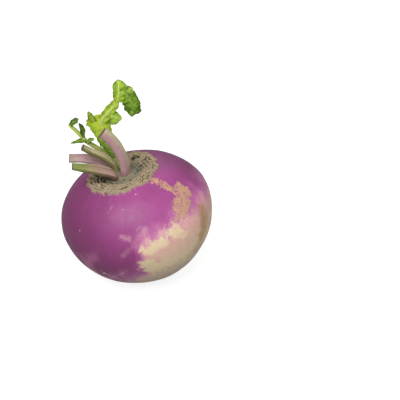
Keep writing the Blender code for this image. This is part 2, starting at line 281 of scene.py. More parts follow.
def crown_relief(spots, crest):
    """Height over the crown's plane and the cork, hollow and green masks, from (right, back); the
    hollow mask is where painted shade darkens the pits and grooves.
    """
    reach = np.linalg.norm(spots - COLLAR_SHIFT, axis=-1)
    turn = np.arctan2(spots[..., 1], spots[..., 0])
    flat = np.concatenate([spots, np.zeros(spots.shape[:-1] + (1,))], axis=-1)
    broad, coarse, fine = (noise_of(flat, size, 3, seed)
                           for size, seed in ((6.0, 3.0), (2.0, 11.0), (0.8, 23.0)))
    edge = CROWN_RADIUS + 0.3 + 1.1 * broad + 1.3 * coarse + 0.8 * fine
    cork = smooth_step(0.35, -0.35, reach - edge)
    stations = np.array([(0, 0.1), (6, 0.0), (9, -0.5), (11, -0.7), (13, 0.0), (15, 0.6), (17, 1.0),
                         (18.5, 1.0), (20, 0.72), (21.5, 0.45), (24, 0.3)])
    height = np.interp(reach, stations[:, 0], stations[:, 1]) * crest
    scallop = 1.5 * np.abs(np.sin(2.5 * turn + 0.7)) + 1.1 * broad + 0.35 * coarse
    band = smooth_step(5.0, 7.5, reach) * smooth_step(21.5, 19.0, reach)
    scars = np.sin(2 * math.pi * (reach + scallop + 0.35 * coarse) / 2.0)
    height += 0.42 * band * np.sign(scars) * np.abs(scars) ** 0.7 * (0.7 + 0.9 * broad)
    nubbly = smooth_step(16.5, 20.0, reach)
    height += nubbly * (0.55 * coarse + 0.35 * np.abs(fine))
    height += (1 - nubbly) * (0.22 * coarse + 0.12 * fine)
    hollow = np.zeros_like(reach)
    for right, back, size, depth in CROWN_PITS:
        pit = bump_at(spots + 0.8 * coarse[..., None], (right, back), size)
        height -= depth * pit
        hollow = np.maximum(hollow, pit)
    for right, back, size, rise in CROWN_NUBS:
        height += rise * bump_at(spots + 0.5 * fine[..., None], (right, back), size)
    green = smooth_step(14.0, 10.0, reach + 2.5 * broad)
    broken = np.clip(0.75 + 1.3 * broad + 0.6 * coarse, 0.1, 1.0)
    # The groove mask carries painted shade into the grooves between the ring's ridges.
    groove = smooth_step(0.25, -0.85, scars) * band * broken
    return height * cork, cork, np.maximum(hollow, 0.75 * groove), green


def ring_shift(height):
    return CROWN_SHIFT * smooth_step(0.15 * SHOULDER_HEIGHT, CROWN_HEIGHT, height)[:, None]


def build_root(settings):
    """The whole root: stub, belly, shoulder and crown in one grid of rounds."""
    stub_radius, stub_height = tap_root_outline()
    body_radius, body_height = body_outline(150)
    wide = body_radius > CROWN_RADIUS + 3.0
    keep = (body_height < 0) & (body_radius > 1.35 * STUB_RADIUS) | (body_height >= 0) & wide
    body_radius, body_height = body_radius[keep], body_height[keep]
    crown_radius = np.linspace(body_radius[-1] - 0.2, 0.25, 116)
    crown_height = SHOULDER_HEIGHT * (
        1 - (np.maximum(crown_radius, CROWN_RADIUS) / ROOT_RADIUS) ** SHOULDER_FULLNESS
    ) ** (1 / SHOULDER_FULLNESS)
    radius = np.concatenate([stub_radius, body_radius, crown_radius])
    height = np.concatenate([stub_height, body_height, crown_height])
    turn = np.linspace(0, 2 * math.pi, settings.rounds, endpoint=False)
    swell = 1 - smooth_step(0.5 * SHOULDER_HEIGHT, CROWN_HEIGHT, height)
    bulge = 1 - LEAN_BULGE * np.outer(swell * radius / ROOT_RADIUS, np.cos(turn))
    spots = (radius[:, None] * bulge)[..., None] * np.stack([np.cos(turn), np.sin(turn)], -1)
    rings = np.concatenate([spots + ring_shift(height)[:, None, :],
                            np.repeat(height[:, None, None], len(turn), axis=1)], axis=-1)
    crown = slice(len(radius) - len(crown_radius), None)
    lift, cork, hollow, green = (np.zeros(rings.shape[:2]) for _ in range(4))
    lift[crown], cork[crown], hollow[crown], green[crown] = crown_relief(
        spots[crown], settings.collar_crest / MM)
    rings[..., 2] += lift
    waves = noise_of(rings, 22.0, 2, 5.0) * 0.35 + noise_of(rings, 7.0, 2, 9.0) * 0.07
    outward = unit(rings * np.array([1.0, 1.0, 1.6]))
    rings += outward * (waves * (1 - 0.6 * cork))[..., None]
    rings = rest_on_floor(rings)
    scar = np.zeros(rings.shape[:2])
    scar[:len(stub_radius)] = 1.0
    skin = Skin()
    skin.shell(rings, {"cork": cork, "hollow": hollow, "green": green, "scar": scar})
    return skin.piece("turnip_root_skin", root_material(settings), "root")


def rest_on_floor(rings):
    """Flattens whatever would sink below the floor."""
    up = np.array(root_matrix().to_3x3())[2]
    below = rings @ up + ROOT_MIDDLE.z
    return rings + up * np.maximum(0.0, -below)[..., None]


# ---- stalks ----
# A station is (right, back, up, width, thickness) in mm from the middle of the crown.

CUT_STALKS = {
    "tall_stalk": {
        "channel": (-0.6, 0.6, 0.5),
        "stations": [
            (3.0, -3.6, -1.5, 9.0, 6.4),
            (3.2, -3.6, 1.5, 7.8, 5.4),
            (3.9, -3.6, 6.6, 7.1, 5.0),
            (3.4, -3.8, 14.9, 6.9, 4.9),
            (1.7, -4.2, 22.0, 6.8, 4.8),
            (-0.8, -4.8, 27.6, 6.6, 4.7),
            (-2.3, -5.0, 30.1, 6.5, 4.6),
        ],
    },
    "middle_stalk": {
        "channel": (0.75, 0.1, 0.65),
        "stations": [
            (-1.4, -0.4, -1.5, 7.4, 5.0),
            (-1.7, -0.3, 1.5, 6.8, 4.4),
            (-2.3, -0.2, 5.6, 6.7, 4.4),
            (-4.4, 0.0, 9.6, 6.8, 4.8),
            (-7.8, 0.2, 13.4, 6.5, 4.8),
            (-12.6, 0.2, 17.7, 5.9, 4.6),
            (-16.2, 0.0, 21.6, 5.3, 4.4),
        ],
    },
    "low_stalk": {
        "channel": (0.35, -0.1, 0.95),
        "stations": [
            (-2.0, -5.6, -1.5, 7.6, 6.4),
            (-2.6, -5.9, 1.2, 7.8, 6.3),
            (-4.6, -6.8, 4.4, 8.2, 6.1),
            (-8.8, -7.8, 7.8, 8.3, 5.9),
            (-12.7, -8.5, 10.4, 7.9, 5.7),
            (-17.8, -9.0, 13.1, 6.8, 4.9),
            (-23.9, -9.5, 16.2, 5.0, 3.9),
        ],
    },
    "back_stalk": {
        "channel": (0.2, -0.5, 0.85),
        "stations": [
            (-5.2, 4.8, -1.5, 6.6, 5.0),
            (-6.4, 5.3, 1.5, 6.2, 4.4),
            (-8.4, 6.0, 4.2, 6.2, 4.4),
            (-12.7, 7.0, 7.2, 6.2, 4.8),
            (-19.7, 7.5, 10.3, 5.7, 4.6),
            (-27.6, 8.0, 12.4, 5.3, 4.3),
        ],
    },
}
CROWN_MIDDLE = np.array([CROWN_SHIFT[0], CROWN_SHIFT[1], CROWN_HEIGHT])


def headings(centres):
    ahead = np.roll(centres, -1, axis=0) - np.roll(centres, 1, axis=0)
    ahead[0] = centres[1] - centres[0]
    ahead[-1] = centres[-1] - centres[-2]
    return unit(ahead)


def stalk_rings(stations, channel, steps, rounds, hollow_share, seed):
    """Rounds of a ribbed stalk with a channel, and its along, face and side masks."""
    rows = smooth_curve(stations, steps)
    centres = rows[:, :3] + CROWN_MIDDLE
    along = headings(centres)
    across = unit(np.cross(along, np.array(channel, float)))
    inner = np.cross(across, along)
    turn = np.linspace(0, 2 * math.pi, rounds, endpoint=False)
    wide, deep = np.cos(turn), np.sin(turn)
    share = np.linspace(0, 1, steps + 1)
    ribs = 0.010 * np.sin(turn[None, :] * 19 + 1.2 * np.sin(share[:, None] * 5 + seed))
    ribs = ribs + 0.006 * np.sin(turn[None, :] * 31 + seed * 2)
    hollow = hollow_share * smooth_step(0.2, 0.8, deep)
    x = 0.5 * rows[:, 3:4] * (np.sign(wide) * np.abs(wide) ** 0.92) * (1 + ribs)
    y = rows[:, 4:5] * (0.5 * deep - hollow) * (1 + ribs)
    rings = centres[:, None] + x[..., None] * across[:, None] + y[..., None] * inner[:, None]
    wobble = noise_of(rings, 5.0, 2, seed) * 0.16
    rings += (wobble[..., None]) * unit(rings - centres[:, None])
    masks = {
        "along": np.repeat(share[:, None], rounds, axis=1),
        "face": np.repeat(deep[None, :], steps + 1, axis=0),
        "side": np.repeat(wide[None, :], steps + 1, axis=0),
    }
    return rings, masks


def with_cut_end(rings, masks, seed):
    """Adds the cut face: a thin rim, then a face that dips and is rough where it dried."""
    heading = unit(rings[-1].mean(axis=0) - rings[-3].mean(axis=0))
    centre = rings[-1].mean(axis=0)
    shares = [0.97, 0.9, 0.8, 0.66, 0.5, 0.34, 0.18, 0.05]
    sinks = [0.10, 0.02, -0.22, -0.34, -0.36, -0.46, -0.62, -0.66]
    added = []
    for share, sink in zip(shares, sinks):
        ring = centre + (rings[-1] - centre) * share
        rough = noise_of(ring, 0.9, 2, seed) * 0.28
        added.append(ring + heading * (sink + rough)[:, None])
    cut = np.zeros(rings.shape[:2])
    grown = {name: np.concatenate([values, np.repeat(values[-1:], len(added), axis=0)])
             for name, values in masks.items()}
    depth = np.linspace(0.35, 1.0, len(added))[:, None] * np.ones(rings.shape[1])
    grown["cut"] = np.concatenate([cut, depth])
    return np.concatenate([rings, np.array(added)]), grown


# Which of the settings' colours each stalk wears: on its back, in its channel, on its flank, at
# its tip and at its foot, then which side the flank is and how far up the green starts and ends.
# The plum and rust feet are painted shade near the crown; the pale foot is the stalk's own colour.
STALK_TINTS = {
    "tall_stalk": ("mauve", "mauve", "pale", "blush", "plum_shade", -1.0, 0.75, 1.60),
    "middle_stalk": ("olive", "pale", "olive", "olive", "pale", 1.0, 0.70, 1.40),
    "low_stalk": ("rust", "dun", "rust", "fresh", "plum_shade", 1.0, 0.50, 0.95),
    "back_stalk": ("blush", "mauve", "mauve", "olive", "rust", 1.0, 0.80, 1.20),
}


def build_cut_stalks(settings):
    for order, (name, shape) in enumerate(CUT_STALKS.items()):
        rings, masks = stalk_rings(shape["stations"], shape["channel"], 110, settings.rounds,
                                   0.34, order * 3.1 + 1.0)
        rings, masks = with_cut_end(rings, masks, order + 0.5)
        skin = Skin()
        skin.shell(rings, masks)
        skin.piece(f"turnip_{name}_skin", stalk_material(settings, name), name)


# ---- leaves ----
# A blade station is (right, back, up, reach on one side, reach on the other) in mm. Each lobe
# starts with its cup, its tone (0 young to 1 dark) and whether its veins run lengthwise.

LEAVES = {
    "large_leaf": {
        "channel": (0.1, -0.9, 0.4),
        "stem": [
            (-0.7, 5.2, -1.5, 4.8, 3.6),
            (-1.0, 5.2, 1.5, 4.0, 3.0),
            (-1.7, 5.0, 5.0, 3.6, 2.6),
            (-2.7, 4.8, 12.6, 3.3, 2.3),
            (-3.9, 5.0, 20.1, 2.9, 1.9),
            (-3.4, 5.4, 27.7, 2.4, 1.5),
            (-1.0, 6.0, 33.0, 2.0, 1.3),
            (4.9, 6.3, 37.0, 1.7, 1.2),
            (10.2, 7.3, 41.7, 1.3, 1.0),
            (12.3, 8.8, 46.8, 0.8, 0.8),
            (13.3, 10.5, 49.8, 0.5, 0.5),
        ],
        "lobes": [
            (0.6, 0.1, True, [
                (-1.5, 4.3, 7.5, 1.2, 1.2), (-2.4, 4.4, 12.8, 2.4, 2.2),
                (-3.5, 4.7, 18.7, 3.8, 3.4), (-3.6, 5.0, 23.9, 4.9, 5.2),
                (-3.3, 5.4, 28.3, 6.3, 5.4), (-3.1, 6.0, 32.2, 8.2, 5.6),
                (-3.0, 6.5, 34.6, 6.3, 3.4), (-2.9, 6.9, 35.8, 0.4, 0.4),
            ]),
            (0.8, 0.3, False, [
                (-6.4, 6.0, 32.6, 1.6, 1.6), (-6.8, 5.2, 35.4, 2.0, 1.5),
                (-7.2, 4.2, 38.4, 1.6, 1.3), (-7.6, 3.5, 40.6, 0.4, 0.4),
            ]),
            (0.4, 0.25, True, [
                (-1.8, 6.0, 31.8, 2.6, 2.9), (1.6, 6.3, 34.5, 2.8, 3.4), (5.0, 6.6, 37.2, 2.8, 3.1),
                (8.0, 7.0, 39.8, 2.3, 2.6), (10.8, 7.5, 42.7, 0.4, 0.4),
            ]),
            (-0.5, 0.4, False, [
                (2.4, 6.4, 35.0, 1.7, 1.7), (4.2, 5.6, 33.3, 2.6, 3.4), (5.8, 4.8, 32.3, 3.4, 4.8),
                (7.3, 4.2, 31.6, 2.8, 4.0), (8.6, 4.0, 30.7, 1.4, 1.7), (9.0, 4.0, 30.2, 0.4, 0.4),
            ]),
            (0.9, 0.35, False, [
                (10.1, 7.0, 39.9, 1.4, 2.3), (10.9, 7.5, 43.0, 3.2, 4.2),
                (12.1, 8.5, 45.8, 3.4, 5.0), (12.6, 10.0, 48.1, 3.3, 4.4),
                (13.0, 11.5, 49.8, 2.1, 2.8), (13.2, 12.5, 51.1, 0.4, 0.4),
            ]),
            (0.3, 0.45, False, [
                (11.2, 7.3, 41.0, 2.4, 3.2), (14.6, 7.6, 43.0, 3.9, 5.2),
                (17.0, 8.2, 44.4, 3.6, 3.4), (19.0, 8.8, 45.1, 2.2, 2.6),
                (20.0, 9.0, 45.4, 0.4, 0.4),
            ]),
            (-1.0, 0.75, False, [
                (14.8, 7.4, 44.2, 2.8, 2.8), (16.6, 6.7, 41.2, 4.6, 4.8),
                (17.5, 6.0, 38.0, 4.8, 5.4), (17.0, 5.8, 34.9, 5.0, 5.0),
                (15.8, 6.0, 31.9, 4.4, 4.4), (14.8, 6.6, 29.3, 0.4, 0.4),
            ]),
        ],
    },
    "small_leaf": {
        "channel": (0.5, -0.6, 0.6),
        "stem": [
            (-0.8, 10.2, -1.5, 4.0, 3.4),
            (-1.6, 9.8, 1.5, 3.5, 2.9),
            (-3.6, 9.0, 6.0, 3.3, 2.6),
            (-7.2, 7.4, 11.8, 3.2, 2.5),
            (-10.0, 6.2, 15.8, 3.0, 2.4),
            (-13.9, 5.0, 21.5, 2.7, 2.2),
            (-15.6, 4.2, 26.1, 2.5, 2.0),
            (-18.5, 3.4, 32.6, 2.2, 1.8),
            (-20.1, 3.0, 35.6, 1.9, 1.7),
        ],
        "lobes": [
            (0.5, 0.95, False, [
                (-19.9, 3.1, 34.9, 0.9, 0.9), (-17.3, 2.5, 36.9, 1.5, 1.5),
                (-15.1, 2.0, 38.0, 1.5, 1.6), (-13.8, 2.0, 38.4, 0.4, 0.4),
            ]),
            (0.4, 0.95, False, [
                (-15.0, 4.3, 25.2, 0.9, 0.9), (-14.0, 3.8, 29.0, 1.7, 1.4),
                (-14.3, 3.8, 31.6, 1.8, 1.6), (-14.5, 3.7, 33.6, 1.1, 1.2),
                (-14.5, 3.6, 34.8, 0.4, 0.4),
            ]),
            (0.3, 0.8, False, [
                (-14.0, 4.7, 22.8, 1.3, 1.4), (-16.8, 3.2, 24.0, 1.4, 1.4),
                (-19.8, 2.2, 24.6, 0.9, 0.8), (-22.3, 1.4, 25.1, 0.4, 0.4),
            ]),
            (0.4, 0.7, False, [
                (-13.6, 4.8, 21.2, 1.0, 1.0), (-11.7, 3.8, 22.4, 1.5, 1.3),
                (-10.2, 3.1, 23.0, 1.1, 0.9), (-9.2, 2.7, 23.4, 0.4, 0.4),
            ]),
        ],
    },
}
BLADE_THICKNESS = 0.42
VEIN_SPACING = 2.6


def blade_rings(stations, face, cup, lengthwise, ruffle, seed):
    """Flattened rounds of one lobe: ragged, ruffled, with raised veins on both sides."""
    steps = 54
    rows = smooth_curve(stations, steps)
    centres = rows[:, :3] + CROWN_MIDDLE
    along = headings(centres)
    across = unit(np.cross(along, np.array(face, float)))
    outward = np.cross(across, along)
    half = np.linspace(-1.0, 1.0, 27)
    share = np.concatenate([half, half[::-1]])
    front = np.concatenate([np.ones(27), -np.ones(27)])
    length = np.concatenate([[0], np.cumsum(np.linalg.norm(np.diff(centres, axis=0), axis=1))])
    edge_spots = np.stack([length, np.zeros(steps + 1), np.zeros(steps + 1)], axis=-1)
    ragged = [1 + 0.19 * noise_of(edge_spots, 2.4, 3, seed + shift) for shift in (0.0, 40.0)]
    reach = np.where(share[None, :] > 0, (rows[:, 4] * ragged[0])[:, None],
                     (rows[:, 3] * ragged[1])[:, None])
    x = share[None, :] * reach
    flat = centres[:, None] + x[..., None] * across[:, None]
    spread = smooth_step(0.6, 4.0, rows[:, 3] + rows[:, 4])[:, None]
    bend = cup * share[None, :] ** 2 * spread
    pucker = ruffle * spread * (0.9 * noise_of(flat, 3.2, 2, seed + 7)
                                + 1.6 * np.abs(share[None, :]) ** 2
                                * noise_of(flat, 2.4, 2, seed + 17))
    if lengthwise:
        place = 3.2 * share[None, :] + 0.35 * noise_of(flat, 6.0, 1, seed)
    else:
        place = (length[:, None] - 0.85 * np.abs(x)) / VEIN_SPACING + seed
    rib = np.exp(-(np.abs(place - np.round(place)) / 0.10) ** 2) * (1 - np.abs(share[None, :]))
    rib = rib * smooth_step(0.0, 0.25, np.abs(x))
    spine = np.exp(-(x / 0.45) ** 2)
    veins = np.clip(0.75 * rib + spine, 0, 1) * spread
    edge = np.abs(share[None, :]) ** 3 * np.ones_like(x)
    thickness = BLADE_THICKNESS * (1 - 0.75 * share[None, :] ** 6) + 0.30 * veins
    lift = bend + pucker + 0.5 * front[None, :] * thickness
    rings = flat + lift[..., None] * outward[:, None]
    masks = {
        "blade": np.ones_like(x),
        "veins": veins,
        "edge": edge,
        "along": np.repeat(np.linspace(0, 1, steps + 1)[:, None], len(share), axis=1),
    }
    return rings, masks


def build_leaves(settings):
    material = leaf_material(settings)
    for order, (name, shape) in enumerate(LEAVES.items()):
        skin = Skin()
        rings, masks = stalk_rings(shape["stem"], shape["channel"], 130, 32, 0.2, 20.0 + order)
        skin.shell(rings, masks)
        for count, (cup, tone, lengthwise, stations) in enumerate(shape["lobes"]):
            ruffle = settings.ruffle / MM * (0.35 + 0.9 * tone)
            rings, masks = blade_rings(stations, shape["channel"], cup, lengthwise, ruffle,
                                       30.0 + 3.7 * count + 50.0 * order)
            foot = 0.6 if tone < 0.2 else 0.0
            masks["tone"] = tone + foot * smooth_step(0.55, 0.15, masks["along"])
            skin.shell(rings, masks)
        skin.piece(f"turnip_{name}_skin", material, name)


# ---- shader helpers ----


class Tree:
    """Adds and links shader nodes in few words."""

    def __init__(self, tree):
        self.tree = tree

    def add(self, kind, inputs=None, **settings):
        made = self.tree.nodes.new(kind)
        for key, value in settings.items():
            setattr(made, key, value)
        for key, value in (inputs or {}).items():
            self.feed(made.inputs[key], value)
        return made

    def feed(self, socket, value):
        if isinstance(value, bpy.types.NodeSocket):
            self.tree.links.new(value, socket)
        else:
            socket.default_value = value

    def math(self, operation, *values, clamp=False):
        made = self.add("ShaderNodeMath", operation=operation, use_clamp=clamp)
        for socket, value in zip(made.inputs, values):
            self.feed(socket, value)
        return made.outputs[0]

    def vector(self, operation, *values):
        made = self.add("ShaderNodeVectorMath", operation=operation)
        for socket, value in zip(made.inputs, values):
            if value is not None:
                self.feed(socket, value)
        return made.outputs["Value" if operation in ("DOT_PRODUCT", "LENGTH") else "Vector"]

    def scale(self, vector, factor):
        made = self.add("ShaderNodeVectorMath", operation="SCALE")
        self.feed(made.inputs[0], vector)
        self.feed(made.inputs["Scale"], factor)
        return made.outputs["Vector"]

    def step(self, value, low, high, to_low=0.0, to_high=1.0):
        made = self.add("ShaderNodeMapRange", interpolation_type="SMOOTHSTEP")
        for name, number in (("Value", value), ("From Min", low), ("From Max", high),
                             ("To Min", to_low), ("To Max", to_high)):
            self.feed(made.inputs[name], number)
        return made.outputs["Result"]

    def mix(self, share, first, second, blend="MIX"):
        made = self.add("ShaderNodeMix", data_type="RGBA", blend_type=blend, clamp_factor=True)
        for socket, value in ((made.inputs[0], share), (made.inputs[6], first),
                              (made.inputs[7], second)):
            self.feed(socket, value)
        return made.outputs[2]

    def noise(self, vector, scale, detail=2.0, rough=0.5, distortion=0.0):
        made = self.add("ShaderNodeTexNoise", {"Vector": vector, "Scale": scale, "Detail": detail,
                                               "Roughness": rough, "Distortion": distortion})
        return made.outputs["Fac"]

    def mask(self, name):
        return self.add("ShaderNodeAttribute", attribute_name=name).outputs["Fac"]

    def group(self, group, **inputs):
        made = self.add("ShaderNodeGroup", node_tree=group)
        for name, value in inputs.items():
            self.feed(made.inputs[name.replace("_", " ").title()], value)
        return made.outputs[0]


def rgba(colour):
    return (*colour, 1.0)


def new_group(name, inputs, output):
    """An empty shader group, with its sockets, and the tools to fill it."""
    group = bpy.data.node_groups.new(name, "ShaderNodeTree")
    kinds = {"number": "NodeSocketFloat", "vector": "NodeSocketVector", "colour": "NodeSocketColor"}
    for socket, kind in inputs.items():
        group.interface.new_socket(socket, in_out="INPUT", socket_type=kinds[kind])
    group.interface.new_socket(output, in_out="OUTPUT", socket_type="NodeSocketFloat")
    tree = Tree(group)
    entry = tree.add("NodeGroupInput")
    leaving = tree.add("NodeGroupOutput")
    return group, tree, entry.outputs, leaving.inputs[0]


def mark_group():
    """Mask of a ragged mark along a line from Start to End, Width wide, in millimetres."""
    found = bpy.data.node_groups.get("Turnip Mark")
    if found:
        return found
    sockets = {"Spot": "vector", "Start": "vector", "End": "vector", "Width": "number",
               "Ragged": "number", "Soft": "number", "Grain": "number"}
    group, tree, entry, leaving = new_group("Turnip Mark", sockets, "Mask")
    line = tree.vector("SUBTRACT", entry["End"], entry["Start"])
    away = tree.vector("SUBTRACT", entry["Spot"], entry["Start"])
    share = tree.math("DIVIDE", tree.vector("DOT_PRODUCT", away, line),
                      tree.vector("DOT_PRODUCT", line, line), clamp=True)
    nearest = tree.vector("SUBTRACT", away, tree.scale(line, share))
    apart = tree.vector("LENGTH", nearest)
    grain = tree.math("DIVIDE", 1.0, entry["Grain"])
    rough = tree.math("SUBTRACT", tree.noise(entry["Spot"], grain, 4.0, 0.62, 0.6), 0.5)
    spread = tree.math("MULTIPLY_ADD", rough, entry["Ragged"], apart)
    low = tree.math("SUBTRACT", entry["Width"], entry["Soft"])
    high = tree.math("ADD", entry["Width"], entry["Soft"])
    tree.feed(leaving, tree.step(spread, low, high, 1.0, 0.0))
    return group


def streak_group():
    """Noise drawn out along one direction, such as down a root or along a stalk."""
    found = bpy.data.node_groups.get("Turnip Streaks")
    if found:
        return found
    sockets = {"Spot": "vector", "Stretch": "vector", "Size": "number", "Detail": "number"}
    group, tree, entry, leaving = new_group("Turnip Streaks", sockets, "Streak")
    drawn = tree.vector("MULTIPLY", entry["Spot"], entry["Stretch"])
    size = tree.math("DIVIDE", 1.0, entry["Size"])
    tree.feed(leaving, tree.noise(drawn, size, entry["Detail"], 0.6, 0.3))
    return group


def new_material(name, roughness, specular=0.5):
    material = bpy.data.materials.new(name)
    material.use_nodes = True
    tree = Tree(material.node_tree)
    shader = material.node_tree.nodes["Principled BSDF"]
    shader.inputs["Roughness"].default_value = roughness
    shader.inputs["Specular IOR Level"].default_value = specular
    return material, tree, shader


def spots_in_mm(tree):
    """Places in the root's own frame, in millimetres."""
    place = tree.add("ShaderNodeTexCoord").outputs["Object"]
    frame_of_root = tree.add("ShaderNodeMapping", {
        "Vector": place, "Location": ROOT_MIDDLE * MM, "Rotation": (0.0, -LEAN, 0.0),
        "Scale": (MM, MM, MM)}, vector_type="TEXTURE")
    return frame_of_root.outputs[0]


def add_bump(tree, shader, height, strength, distance):
    bump = tree.add("ShaderNodeBump", {"Height": height, "Strength": strength,
                                       "Distance": distance * MM})
    tree.feed(shader.inputs["Normal"], bump.outputs[0])


# ---- root's material ----

# (start, end, width, ragged, soft, grain) in mm, in the root's own frame.
SCAB_MARKS = [
    ((12.0, -15.5, 30.0), (18.0, -16.0, 28.5), 1.3, 6.0, 0.5, 2.6),
    ((18.0, -17.0, 28.0), (25.5, -22.0, 23.0), 1.9, 9.0, 0.5, 2.2),
    ((31.0, -20.5, 18.5), (29.0, -29.0, 13.5), 5.3, 12.0, 0.6, 3.0),
    ((28.0, -31.0, 12.5), (25.0, -35.0, 11.0), 1.6, 4.0, 0.5, 2.5),
    ((31.5, -31.0, 7.5), (35.5, -26.0, 7.5), 0.5, 1.2, 0.3, 2.0),
    ((29.0, -18.0, 21.5), (35.0, -17.5, 17.0), 1.2, 5.0, 0.5, 2.5),
]
PURPLE_MARKS = [
    ((-4.0, -40.0, -12.0), (-18.0, -34.0, -24.0), 9.0, 9.0, 6.0, 12.0),
    ((-8.0, -43.0, -3.0), (-24.0, -36.0, -14.0), 8.0, 9.0, 6.0, 12.0),
]
CREAM_MARKS = [
    ((4.0, -43.0, 1.0), (14.0, -42.0, 2.0), 3.6, 13.0, 2.0, 3.2),
    ((2.5, -43.0, -10.0), (9.0, -40.0, -16.0), 5.6, 12.0, 1.6, 4.0),
    ((21.0, -39.0, 6.0), (25.5, -37.0, 0.0), 3.0, 13.0, 2.4, 3.0),
    ((-25.5, -34.0, -12.0), (-20.0, -34.0, -17.5), 0.7, 6.0, 0.6, 2.0),
]
FAINT_MARKS = [
    ((7.0, -41.0, 12.5), (-9.0, -43.0, 1.0), 1.2, 3.0, 1.6, 4.0),
    ((-7.0, -42.0, 12.0), (-3.0, -43.0, 10.0), 1.2, 5.0, 1.2, 2.5),
    ((18.0, -40.0, 9.0), (9.0, -42.0, 4.0), 0.8, 4.0, 1.4, 3.0),
    ((-6.0, -28.0, 27.5), (-12.0, -32.0, 22.5), 0.22, 0.5, 0.2, 3.0),
    ((-12.0, -32.0, 22.5), (-19.0, -36.5, 14.5), 0.22, 0.5, 0.2, 3.0),
    ((2.0, -41.5, 13.5), (5.0, -40.5, 15.0), 0.25, 0.6, 0.25, 3.0),
]
OCHRE_MARKS = [
    ((40.0, -19.0, -1.0), (31.0, -27.0, -19.0), 3.0, 8.0, 6.0, 7.0),
    ((39.0, -21.5, 3.0), (35.5, -24.0, -10.0), 3.4, 14.0, 3.2, 6.0),
    ((40.0, -10.0, -12.0), (30.0, -12.0, -26.0), 2.4, 16.0, 3.4, 5.0),
    ((24.2, -31.3, -18.6), (25.2, -30.8, -18.4), 0.7, 1.2, 0.5, 2.0),
]


def marks(tree, spot, rows):
    """The strongest of several marks."""
    total = None
    for start, end, width, ragged, soft, grain in rows:
        mark = tree.group(mark_group(), spot=spot, start=start, end=end, width=width,
                          ragged=ragged, soft=soft, grain=grain)
        total = mark if total is None else tree.math("MAXIMUM", total, mark)
    return total


